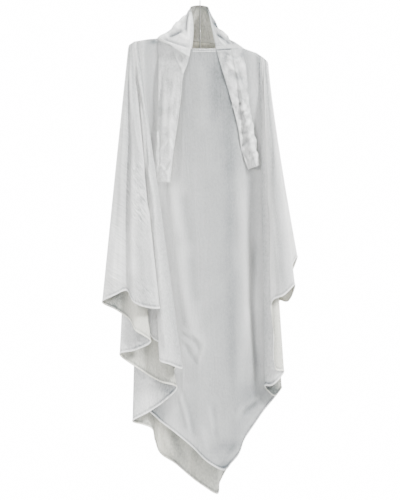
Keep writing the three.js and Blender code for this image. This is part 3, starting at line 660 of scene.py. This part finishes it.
def stitch_tree():
    """Geometry nodes that lay stitches end to end along a line."""
    tree = bpy.data.node_groups.new("stitches on a line", "GeometryNodeTree")
    for title, kind in (("Line", "Geometry"), ("Pitch", "Float"), ("Stitch", "Float"), ("Thread", "Float"),
                        ("Finish", "Material")):
        tree.interface.new_socket(title, in_out="INPUT", socket_type="NodeSocket" + kind)
    tree.interface.new_socket("Stitches", in_out="OUTPUT", socket_type="NodeSocketGeometry")
    given = node_in(tree, "NodeGroupInput").outputs
    curve = node_in(tree, "GeometryNodeMeshToCurve", Mesh=given["Line"])
    spaced = node_in(tree, "GeometryNodeResampleCurve", mode="LENGTH", Curve=curve, Length=given["Pitch"])
    bead = node_in(tree, "GeometryNodeMeshUVSphere", Segments=6, Rings=5, Radius=1)
    half = node_in(tree, "ShaderNodeMath", {0: given["Stitch"], 1: 0.5}, operation="MULTIPLY")
    shape = node_in(tree, "ShaderNodeCombineXYZ", X=given["Thread"], Y=given["Thread"], Z=half)
    along = node_in(tree, "GeometryNodeInputTangent")
    turn = node_in(tree, "FunctionNodeAlignRotationToVector", axis="Z", Vector=along)
    laid = node_in(tree, "GeometryNodeInstanceOnPoints", Points=spaced, Instance=bead, Rotation=turn,
                   Scale=shape)
    real = node_in(tree, "GeometryNodeRealizeInstances", Geometry=laid)
    smooth = node_in(tree, "GeometryNodeSetShadeSmooth", Geometry=real)
    painted = node_in(tree, "GeometryNodeSetMaterial", Geometry=smooth, Material=given["Finish"])
    node_in(tree, "NodeGroupOutput", Stitches=painted)
    return tree


stitches_on_line = stitch_tree()
thread, tree, shader = new_finish("white polyester thread", Roughness=0.45)
ply = clouds_in(tree, on_object(tree), 900, 2)
set_up(tree, shader, Base_Color=ramp_in(tree, ply, (0.7, 0.7, 0.68), (0.86, 0.86, 0.85)))


def stitched(name, line, pitch=0.0034):
    """A row of stitches along a line of points, as one plain mesh that rides with the cape."""
    mesh = bpy.data.meshes.new(name + "_line")
    mesh.from_pydata([tuple(p) for p in line * 0.001], [(k, k + 1) for k in range(len(line) - 1)], [])
    carrier = put(name + "_line", mesh)
    mod = carrier.modifiers.new("stitches", "NODES")
    mod.node_group = stitches_on_line
    sockets = {s.name: s.identifier for s in stitches_on_line.interface.items_tree if s.in_out == "INPUT"}
    sizes = {"Pitch": pitch, "Stitch": pitch * STITCH_PART, "Thread": THREAD, "Finish": thread}
    for title, value in sizes.items():
        mod[sockets[title]] = value
    seen = carrier.evaluated_get(bpy.context.evaluated_depsgraph_get())
    made = put(name, bpy.data.meshes.new_from_object(seen))
    bpy.data.objects.remove(carrier)
    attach(made, "root")
    return made


hem_row = -5   # the row of points where the hem's turned edge is stitched down
stitch_line = ring[:, hem_row] + ring_normals[:, hem_row] * 0.75
front_stitches = stitched("cape_front_hem_stitches", stitch_line[front_columns][2:-2])
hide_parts("cape_front")
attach(cape_front, "root")

# ---- The cape's back ----
# The back half of the same circle cut, longer than the front and sewn to it along the shoulders. Its
# left side falls in a cascade of turned folds, and its middle hangs in broad shallow flutes.
back_columns = np.arange(seam, len(hem) + 1) % len(hem)
back_grid = ring[back_columns]
back_grid[0, 0, 1] = back_grid[-1, 0, 1] = SEAM_GAP
cape_back = panel_from("cape_back_crepe", draw_in(back_grid), back_columns)
back_stitches = stitched("cape_back_hem_stitches", stitch_line[back_columns][2:-2])
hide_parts("cape_back")
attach(cape_back, "root")

# ---- The hood ----
# One shaped piece of the same crepe, sewn to the neck edge. It is drawn up round the hook, so its two
# front edges stand close together, and it is soft enough to dent and pucker on each side.
HOOD_LINES = [  # line, base x, y, z, middle x, y, z, crown x, y, z
    ("right edge", 50, -44, -151, 34, -14, -75, 24.5, 11, -24),
    ("right front", 91, -34, -148, 47, -8, -97, 27, 13, -20),
    ("right side", 134, 0, -144, 58, 8, -99, 24.5, 16, -15.5),
    ("right back", 84, 36, -132.4, 44, 38, -72, 12, 18, -12),
    ("nape", 0, 47, -120.6, -2, 52, -34, -2, 18, -10.7),
    ("left back", -75, 37, -115.8, -41, 40, -52, -17, 18, -11.8),
    ("left side", -131, 0, -114, -58, 8, -71, -28.5, 16, -15),
    ("left front", -86, -32, -137, -41, -8, -81, -30.5, 13, -19.5),
    ("left edge", -25, -44, -151, -14, -14, -75, -28.3, 11, -24),
]
# dents and puffs of the hood: from x, z to x, z, width, height
HOOD_LEFT_CREASES = [
    (-38, -28, -44, -103, 6, -5), (-31, -34, -35, -128, 4, 3), (-44, -40, -91, -87, 7, 5),
    (-53, -90, -104, -112, 6, -7), (-66, -65, -75, -90, 6, 5), (-69, -103, -31, -125, 5, 4),
    (-126, -112, -25, -149, 4.5, -5), (-132, -120, -31, -156, 3.5, 3.5), (-157, -116, -88, -106, 6, 3),
]
HOOD_RIGHT_CREASES = [
    (38, -62, 82, -94, 4, -5), (44, -50, 82, -84, 4, 4), (44, -81, 91, -116, 4.5, 4.5),
    (47, -100, 97, -138, 4.5, -5), (60, -81, 85, -134, 4.8, 3), (53, -116, 82, -144, 4, 3.5),
    (91, -109, 107, -138, 4, -4), (50, -75, 66, -100, 4, -4),
]
HOOD_STEPS = 18      # columns from one line to the next
HOOD_ROWS = 58
HOOD_FOOT = (-0.3, -0.8, -1.3, -1.4)   # the seam allowance lies inside the cape's neck edge


def through(points, count_per_step):
    """A smooth open curve through points."""
    points = np.asarray(points, dtype=float)
    ends = np.vstack([2 * points[0] - points[1], points, 2 * points[-1] - points[-2]])
    out = []
    for k in range(1, len(ends) - 2):
        out += curve_between(*ends[k - 1:k + 3], np.arange(count_per_step) / count_per_step)
    return np.array(out + [points[-1]])


def hood_grid(base, middle, crown, high, low, down):
    """Columns across the hood and rows from high, 1 at its crown, down to low, 0 at the neck."""
    v = np.linspace(high, low, down)[None, :, None]
    return (1 - v) ** 2 * base[:, None] + 2 * v * (1 - v) * middle[:, None] + v ** 2 * crown[:, None]


hood_lines = numbers_of(HOOD_LINES).T
last_line = len(HOOD_LINES) - 1
hood_base, hood_middle, hood_crown = (through(hood_lines[:, k:k + 3], HOOD_STEPS) for k in (0, 3, 6))
hood_mid = hood_grid(hood_base, hood_middle, hood_crown, 1, -0.035, HOOD_ROWS)
hood_u = np.linspace(0, last_line, len(hood_mid))[:, None]
right_side, left_side = share(3.4 - hood_u, 0.6), share(hood_u - 5.2, 0.6)
hood_relief = crease(hood_mid, HOOD_RIGHT_CREASES) * right_side
hood_relief += crease(hood_mid, HOOD_LEFT_CREASES) * left_side
turned_in = np.zeros(HOOD_ROWS)
turned_in[-4:] = HOOD_FOOT
hood_mid += grid_normals(hood_mid) * (hood_relief + turned_in)[:, :, None]
# Its tone is painted light and shade: darker in the dents and paler on the puffs, painted shade over the
# right side, and darker towards the crown, paler towards the neck.
hood = crepe_piece("hood_crepe", hood_mid, CLOTH,
                   0.065 * hood_relief - 0.24 * right_side + np.linspace(0.42, 0.72, HOOD_ROWS))
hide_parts("hood")
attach(hood, "root")

# ---- The turned-down collar ----
# The hood's left front edge, folded out and down over the neck seam towards the shoulder, so that it
# lies double over the hood with its hemmed edge free.
COLLAR_EDGE = [  # place, x, y, z
    ("shoulder end", -130, -8, -116), ("outer", -110, -28, -130), ("middle", -88, -44, -145),
    ("inner", -56, -57, -167), ("chin end", -34, -61, -180),
]
COLLAR_FROM = 6.15   # the hood's line that it starts at
COLLAR_SEWN = 1.6    # how far off the hood it stands where it is sewn, and further down
COLLAR_OFF = 2.6
COLLAR_ROWS = 48


def at_steps(wanted, steps, values):
    """Points of a line at the wanted steps along it."""
    return np.stack([np.interp(wanted, steps, values[:, k]) for k in range(3)], axis=1)


def over_hood(steps, base, high, low):
    """A grid of points on part of the hood, above a base line of its own."""
    middle, crown = (at_steps(steps, hood_u[:, 0], line) for line in (hood_middle, hood_crown))
    return hood_grid(base, middle, crown, high, low, COLLAR_ROWS)


collar_u = np.linspace(COLLAR_FROM, last_line, 46)
collar_edge = through(numbers_of(COLLAR_EDGE).T, 40)
edge_steps = np.linspace(COLLAR_FROM, last_line, len(collar_edge))
collar_mid = over_hood(collar_u, at_steps(collar_u, edge_steps, collar_edge), 0.9, 0)
collar_out = grid_normals(collar_mid)
stand_off = COLLAR_SEWN + (COLLAR_OFF - COLLAR_SEWN) * share(np.arange(COLLAR_ROWS), 10)
collar_mid += collar_out * stand_off[:, None]
collar_relief = crease(collar_mid, HOOD_LEFT_CREASES)
collar_mid += collar_out * collar_relief[:, :, None]
# Its tone is painted shade in the dents and painted light on the puffs.
collar = crepe_piece("collar_crepe", collar_mid, CLOTH, 0.66 + 0.08 * collar_relief)
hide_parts("hood_collar_left")
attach(collar, "root")

# ---- The band along the hood's right edge ----
# A narrow strip of the same crepe, folded over the edge of the face opening from the neck seam
# nearly to the crown, and stitched down.
BAND_OFF = 1.15
BAND_WALL = 0.7

band_u = np.linspace(0.02, 0.4, 8)
band_mid = over_hood(band_u, at_steps(band_u, hood_u[:, 0], hood_base), 0.92, 0.05)
band_out = grid_normals(band_mid)
# Its dull tone of 0.4 is painted shade.
band = crepe_piece("face_band_crepe", band_mid + band_out * BAND_OFF, BAND_WALL, 0.4, band_out)
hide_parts("face_band_right")
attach(band, "root")

# ---- The binding at the chin ----
# A bias strip of the same crepe, folded over the front neck edge between the hood's two corners and
# stitched along its lower side.
# The tone across its width is painted highlights on its two folds and painted shade between and below them.
BINDING_FORM = [  # across its width: y and z from the neck edge, and tone
    (-0.9, 0.9, 0.85), (-1.5, 1.4, 0.85), (-2.1, 0.9, 0.7), (-2.2, -0.6, 0.4), (-1.8, -2.4, 0.3),
    (-1.5, -4.6, 0.3), (-1.9, -6.2, 0.7), (-1.7, -8, 0.6), (-1.3, -9, 0.4),
]
BINDING_WALL = 0.6

binding_x = np.linspace(-23, 48, 48)
neck_x, neck_y, neck_z = numbers_of(FRONT_TOP)
edge = np.stack([binding_x, *(np.interp(binding_x, neck_x, line) for line in (neck_y, neck_z))], axis=1)
binding_mid = np.stack([edge + (0, dy, dz) for dy, dz, _ in BINDING_FORM], axis=1)
binding = crepe_piece("chin_binding_crepe", binding_mid, BINDING_WALL, [row[2] for row in BINDING_FORM])
binding_stitches = stitched("chin_binding_stitches", binding_mid[1:-1, 4] + (0, -0.6, 0), 0.003)
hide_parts("chin_binding")
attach(binding, "root")

# ---- The ties ----
# Two long bands of crepe, doubled and turned, sewn into the neck seam at each side of the chin. They
# hang loose over the front, the right one crumpled from having been knotted.
TIE_LEVELS = [  # level, left tie's left x, z, right x, z, right tie's left x, z, right x, z
    ("seam", -130, -131, -33, -158, 51, -150, 131, -150),
    ("upper", -130, -185, -37, -191, 61, -191, 141, -194),
    ("chest", -130, -241, -53, -238, 75, -236, 146, -238),
    ("middle", -131, -310, -60, -310, 88, -279, 151, -276),
    ("lower", -133, -389, -71, -389, 99, -317, 155, -317),
    ("narrow", -135, -467, -82, -464, 119, -397, 166, -395),
    ("above hem", -135.5, -530, -90, -533, 131, -467, 181, -467),
    ("end", -135, -567, -94, -569, 151, -529, 192, -514),
]
TIE_CLEAR = 4.4      # how far the ties hang in front of the cape, and at the seam
TIE_SEWN = 3.6
TIE_WALL = 1.1
TIE_HEM = 2.2
TIE_COLUMNS = 44
TIE_ROWS = 150
# creases of the ties: from x, z to x, z, width, height
TIE_LEFT_CREASES = [
    (-137, -392, -133, -514, 3.5, 4), (-126, -398, -126, -524, 3.5, -3), (-122, -470, -94, -430, 4, 3.5),
    (-94, -430, -82, -474, 4, 3.5), (-126, -508, -100, -549, 4, 3), (-91, -499, -116, -546, 4, -3.5),
    (-119, -153, -124, -546, 6.6, 2.8), (-105, -138, -110, -555, 6.6, -2.4),
    (-75, -216, -91, -530, 6.6, 2.4), (-50, -178, -72, -373, 6.6, 2), (-63, -185, -78, -404, 5.5, -2.4),
    (-133, -398, -135, -555, 4, 2.4), (-69, -191, -41, -247, 4, 2.8), (-82, -169, -50, -229, 4, -2.4),
    (-91, -134, -38, -185, 4.4, 2.8), (-75, -169, -57, -216, 4, 2),
]
TIE_RIGHT_CREASES = [
    (82, -191, 100, -222, 6.6, 3.6), (113, -247, 126, -285, 7.7, 3.1), (135, -335, 144, -360, 6.6, 4.3),
    (157, -373, 144, -398, 5.5, 3.8), (138, -411, 157, -417, 5.5, -3.6), (163, -430, 157, -467, 5.5, 4.3),
    (144, -474, 163, -499, 4.4, 3.1), (69, -160, 126, -185, 4.4, -1.9), (82, -191, 113, -166, 4, 1.9),
    (100, -197, 132, -178, 4, 1.7), (88, -203, 126, -229, 5.5, 2.2), (113, -185, 144, -279, 4.4, -1.9),
    (126, -185, 148, -342, 4, 1.7), (100, -229, 119, -310, 5.5, 1.7), (113, -298, 151, -317, 4.4, -1.9),
    (113, -323, 157, -348, 4.4, 2.2), (119, -360, 157, -342, 4, -2.2), (126, -373, 163, -395, 4.4, 2.2),
    (132, -404, 163, -386, 4, -2.2), (135, -417, 173, -436, 4.4, 2.4), (141, -445, 176, -430, 4, -2.4),
    (144, -461, 182, -477, 4.4, 2.4), (151, -492, 182, -467, 4, -2.2), (163, -436, 179, -505, 4, 1.8),
]
# Each tie's tones run from its top to its end: painted shade at the top, painted light towards the end.
TIES = [  # node, first column in the levels, creases, crumples (from z to z, size, height), cut, tones
    ("tie_left", 0, TIE_LEFT_CREASES, ((-150, -420, 24, 2.2), (-380, -560, 15, 1.4)),
     (0.105, 0.43), (0.5, 0.78)),
    ("tie_right", 4, TIE_RIGHT_CREASES, ((-150, -330, 22, 3.4), (-290, -515, 10, 4.4)),
     (0.105, 0.42), (0.42, 0.7)),
]
front_faces = faces_of(*front_grid.shape[:2]).tolist()
cape_skin = BVHTree.FromPolygons(front_grid.reshape(-1, 3).tolist(), front_faces)


def tie_grid(edges, across, down):
    """A tie in front of the cape: level rows between its two edges, hung clear of what is behind it."""
    left, right = (through([(x, 0, z) for x, z in edge], 24) for edge in (edges[:, :2], edges[:, 2:]))
    s = np.linspace(0, 1, down)
    steps = np.linspace(0, 1, len(left))
    grid = np.zeros((across, down, 3))
    for i, w in enumerate(np.linspace(0, 1, across)):
        line = at_steps(s, steps, left) * (1 - w) + at_steps(s, steps, right) * w
        hang = 0
        for j in range(down):
            x, z = line[j, 0], line[j, 2]
            hit = cape_skin.ray_cast(Vector((x, -400, z)), Vector((0, 1, 0)))[0]
            clear = TIE_SEWN + (TIE_CLEAR - TIE_SEWN) * min(4 * s[j], 1)
            near = hit.y - clear if hit else hang
            hang = near if j == 0 else hang
            wave = abs(2.5 * s[j] * math.sin(w * math.pi * 3 + 0.6))
            grid[i, j] = (x, min(near, hang * (1 - 0.2 * s[j])) - wave, z)
    y = grid[:, :, 1]
    for _ in range(6):
        y[1:-1] = y[1:-1] * 0.5 + (y[2:] + y[:-2]) * 0.25
        y[:, 1:-1] = y[:, 1:-1] * 0.5 + (y[:, 2:] + y[:, :-2]) * 0.25
    return grid


def crumple(grid, stretches):
    """Heights of soft crumpling."""
    x, z = grid[:, :, 0], grid[:, :, 2]
    height = np.zeros(x.shape)
    for top, low, size, rise in stretches:
        stray = 0.4 * noise_at(x / 21, z / 30, 1)
        lump = noise_at(x / size + stray, z / size / 1.7, size)
        height += 1.5 * rise * share(top - z, 25) * share(z - low, 25) * lump
    return height


for name, first, creases, crumpled, cut_size, painted_tone_ends in TIES:
    tie_mid = tie_grid(numbers_of(TIE_LEVELS).T[:, first:first + 4], TIE_COLUMNS, TIE_ROWS)
    tie_relief = crease(tie_mid, creases) + crumple(tie_mid, crumpled)
    tie_mid += grid_normals(tie_mid) * tie_relief[:, :, None]
    tie_wall = np.full(TIE_ROWS, TIE_WALL)
    tie_wall[-5:] = TIE_HEM
    tie_wall[-1] = 0.9
    # Painted shade at the top and in the troughs, painted light towards the end and on the ridges.
    tie_painted_light_and_shade = np.linspace(*painted_tone_ends, TIE_ROWS) + 0.055 * tie_relief
    tie = crepe_piece(name + "_crepe", tie_mid, tie_wall, tie_painted_light_and_shade)
    tie_stitches = stitched(name + "_stitches", (tie_mid + grid_normals(tie_mid) * 1.1)[1:-1, -5], 0.003)
    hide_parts(name)
    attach(tie, "root")

# ---- The room ----
# A small plain white studio: a pale floor well below the hem, and large soft panels of light on
# every side.
FLOOR_Z = -1.8
FLOOR_R = 1.3
LIGHTS = [  # name, x, y, z, aim z on the middle line, width, height, watts
    ("right window", 3.6, -3, 2.6, -0.9, 0.8, 1.2, 930),
    ("left window", -3.4, -3.6, 1.9, -0.9, 1.4, 1.8, 260),
    ("front", 0.2, -4.6, 1.6, -0.8, 1.2, 1.2, 115),
    ("front low", -0.6, -4.6, -1.3, -1, 1.6, 0.8, 110),
    ("left side", -3.4, 0.2, 0.8, -0.9, 1, 1.8, 130),
    ("right side", 3.4, 0.6, 0.8, -0.9, 1, 1.8, 100),
    ("back left", -3.2, 3.4, 2.2, -0.9, 0.9, 1.4, 560),
    ("back right", 3.6, 3, 1, -0.9, 1.2, 1.8, 170),
]

floor_mesh = bpy.data.meshes.new("floor")
floor_points = [(FLOOR_R * math.cos(a), FLOOR_R * math.sin(a), FLOOR_Z) for a in around(96)]
floor_mesh.from_pydata(floor_points, [], [tuple(range(96))])
floor = put("floor", floor_mesh)
paint, tree, shader = new_finish("pale floor paint", Roughness=0.9)
cloudy = clouds_in(tree, on_object(tree), 2, 3)
set_up(tree, shader, Base_Color=ramp_in(tree, cloudy, (0.64, 0.64, 0.64), (0.68, 0.68, 0.68)))
floor_mesh.materials.append(paint)

world = bpy.data.worlds.new("studio")
world.use_nodes = True
tree = world.node_tree
soft = set_up(tree, tree.nodes["Background"], Color=(0.97, 0.99, 1, 1), Strength=0.26)
white = node_in(tree, "ShaderNodeBackground", Color=(1, 1, 1, 1), Strength=16)
seen_straight = node_in(tree, "ShaderNodeLightPath").outputs["Is Camera Ray"]
both = node_in(tree, "ShaderNodeMixShader", {1: soft, 2: white}, Fac=seen_straight)
set_up(tree, tree.nodes["World Output"], Surface=both)
bpy.context.scene.world = world
for name, x, y, z, aim_z, wide, high, watts in LIGHTS:
    panel = bpy.data.lights.new(name, "AREA")
    panel.shape = "RECTANGLE"
    panel.size, panel.size_y, panel.energy = wide, high, watts
    lamp = put(name, panel)
    lamp.location = (x, y, z)
    lamp.rotation_euler = Vector((-x, -y, aim_z - z)).to_track_quat("-Z", "Y").to_euler()

# ---- The camera ----
# Far off and level with the cape's middle, so that it draws the hang with little perspective.
# It takes in the whole cape.
DISTANCE = 10
MIDDLE_Z = -0.781
TALL = 1.57          # what the picture's height takes in at the cape, in metres
lens = bpy.data.cameras.new("camera")
lens.sensor_width = 36
lens.lens = lens.sensor_width * DISTANCE / TALL
lens.clip_end = 100
camera = put("camera", lens)
camera.location = (0, -DISTANCE, MIDDLE_Z)
camera.rotation_euler = (math.pi / 2, 0, 0)
bpy.context.scene.camera = camera
